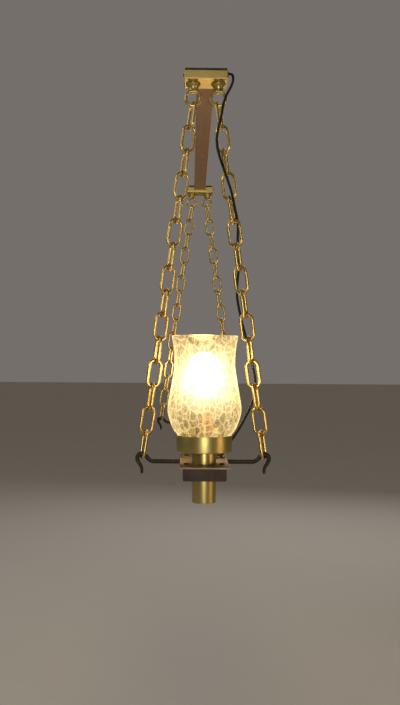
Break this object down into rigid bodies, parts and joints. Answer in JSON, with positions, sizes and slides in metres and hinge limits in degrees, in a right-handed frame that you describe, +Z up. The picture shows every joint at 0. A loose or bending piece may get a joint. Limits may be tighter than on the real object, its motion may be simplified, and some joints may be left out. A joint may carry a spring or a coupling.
{
  "type": "sanctuary lamp",
  "caption": "Long ceiling-hung sanctuary light: a beam on brass chains from two ceiling blocks, with a row of crackle-glass hurricane shades on brass cups.",
  "frame": {"origin": "middle of the ceiling face, where the ceiling bar lies against the ceiling", "axes": "+Z up, +Y along the beam away from the cable end, +X across the beam"},
  "size_m": [0.2156, 1.172, 0.6649],
  "materials": {
    "brass_satin": "satin lacquered brass",
    "brass_chain": "polished brass",
    "dark_iron": "satin dark bronze paint",
    "beam_brown": "satin dark brown paint",
    "plate_bronze": "satin bronze-grey paint",
    "bar_timber": "oiled walnut",
    "black_steel": "matt black paint",
    "steel": "zinc plated",
    "crackle_glass": "clear crackle glass",
    "bulb_glass": "lit glass bulb",
    "sleeve_copper": "satin copper lacquer",
    "holder_plastic": "moulded",
    "cable_black": "matt cable sheath",
    "black_plastic": "moulded"
  },
  "bodies": {
    "root": {"bar_dowels": "steel", "cable_gland": "black_plastic", "ceiling_bar": "bar_timber", "eye_nuts": "steel", "front_backplate": "black_steel", "front_ceiling_block": "brass_satin", "front_left_eye": "brass_chain", "front_left_eye_cup": "brass_satin", "front_right_eye": "brass_chain", "front_right_eye_cup": "brass_satin", "rear_backplate": "black_steel", "rear_ceiling_block": "brass_satin", "rear_left_eye": "brass_chain", "rear_left_eye_cup": "brass_satin", "rear_right_eye": "brass_chain", "rear_right_eye_cup": "brass_satin", "side_screws": "dark_iron", "terminal_block": "holder_plastic"},
    "front_chains": {"front_left_chain": "brass_chain", "front_right_chain": "brass_chain", "supply_cable": "cable_black"},
    "beam": {"beam_channel": "beam_brown", "beam_grommet": "black_plastic", "beam_lead": "cable_black", "beam_plate": "plate_bronze", "candle_sleeves": "sleeve_copper", "front_crossbar": "dark_iron", "front_end_cap": "beam_brown", "lamp_1_gallery": "brass_satin", "lamp_2_gallery": "brass_satin", "lamp_3_gallery": "brass_satin", "lamp_4_gallery": "brass_satin", "lamp_5_gallery": "brass_satin", "lamp_6_gallery": "brass_satin", "lamp_7_gallery": "brass_satin", "lamp_tubes": "brass_satin", "lampholders": "holder_plastic", "lower_lock_nuts": "steel", "plate_screws": "dark_iron", "rear_crossbar": "dark_iron", "rear_end_cap": "beam_brown", "threaded_nipples": "steel", "tube_caps": "brass_satin", "upper_lock_nuts": "steel"},
    "rear_chains": {"rear_left_chain": "brass_chain", "rear_right_chain": "brass_chain"},
    "shade_1": {"lamp_1_shade": "crackle_glass"},
    "bulb_1": {"lamp_1_bulb": "bulb_glass"},
    "shade_2": {"lamp_2_shade": "crackle_glass"},
    "bulb_2": {"lamp_2_bulb": "bulb_glass"},
    "shade_3": {"lamp_3_shade": "crackle_glass"},
    "bulb_3": {"lamp_3_bulb": "bulb_glass"},
    "shade_4": {"lamp_4_shade": "crackle_glass"},
    "bulb_4": {"lamp_4_bulb": "bulb_glass"},
    "shade_5": {"lamp_5_shade": "crackle_glass"},
    "bulb_5": {"lamp_5_bulb": "bulb_glass"},
    "shade_6": {"lamp_6_shade": "crackle_glass"},
    "bulb_6": {"lamp_6_bulb": "bulb_glass"},
    "shade_7": {"lamp_7_shade": "crackle_glass"},
    "bulb_7": {"lamp_7_bulb": "bulb_glass"}
  },
  "joints": [
    {"name": "front_swing", "type": "hinge", "parent": "root", "child": "front_chains", "pos_m": [0, -0.44, -0.0525], "axis": [1, 0, 0], "range_deg": [-10, 10], "deforming": ["supply_cable"]},
    {"name": "beam_level", "type": "hinge", "parent": "front_chains", "child": "beam", "pos_m": [0, -0.44, -0.60344], "axis": [1, 0, 0], "range_deg": [-10, 10]},
    {"name": "rear_swing", "type": "hinge", "parent": "root", "child": "rear_chains", "pos_m": [0, 0.44, -0.0525], "axis": [1, 0, 0], "range_deg": [-10, 10]},
    {"name": "shade_1_lift", "type": "slide", "parent": "beam", "child": "shade_1", "axis": [0, 0, 1], "range_m": [0, 0.12]},
    {"name": "bulb_1_out", "type": "slide", "parent": "beam", "child": "bulb_1", "axis": [0, 0, 1], "range_m": [0, 0.03]},
    {"name": "shade_2_lift", "type": "slide", "parent": "beam", "child": "shade_2", "axis": [0, 0, 1], "range_m": [0, 0.12]},
    {"name": "bulb_2_out", "type": "slide", "parent": "beam", "child": "bulb_2", "axis": [0, 0, 1], "range_m": [0, 0.03]},
    {"name": "shade_3_lift", "type": "slide", "parent": "beam", "child": "shade_3", "axis": [0, 0, 1], "range_m": [0, 0.12]},
    {"name": "bulb_3_out", "type": "slide", "parent": "beam", "child": "bulb_3", "axis": [0, 0, 1], "range_m": [0, 0.03]},
    {"name": "shade_4_lift", "type": "slide", "parent": "beam", "child": "shade_4", "axis": [0, 0, 1], "range_m": [0, 0.12]},
    {"name": "bulb_4_out", "type": "slide", "parent": "beam", "child": "bulb_4", "axis": [0, 0, 1], "range_m": [0, 0.03]},
    {"name": "shade_5_lift", "type": "slide", "parent": "beam", "child": "shade_5", "axis": [0, 0, 1], "range_m": [0, 0.12]},
    {"name": "bulb_5_out", "type": "slide", "parent": "beam", "child": "bulb_5", "axis": [0, 0, 1], "range_m": [0, 0.03]},
    {"name": "shade_6_lift", "type": "slide", "parent": "beam", "child": "shade_6", "axis": [0, 0, 1], "range_m": [0, 0.12]},
    {"name": "bulb_6_out", "type": "slide", "parent": "beam", "child": "bulb_6", "axis": [0, 0, 1], "range_m": [0, 0.03]},
    {"name": "shade_7_lift", "type": "slide", "parent": "beam", "child": "shade_7", "axis": [0, 0, 1], "range_m": [0, 0.12]},
    {"name": "bulb_7_out", "type": "slide", "parent": "beam", "child": "bulb_7", "axis": [0, 0, 1], "range_m": [0, 0.03]}
  ],
  "couplings": [
    {"joint": "beam_level", "follows": "front_swing", "ratio": -1},
    {"joint": "rear_swing", "follows": "front_swing", "ratio": 1}
  ]
}
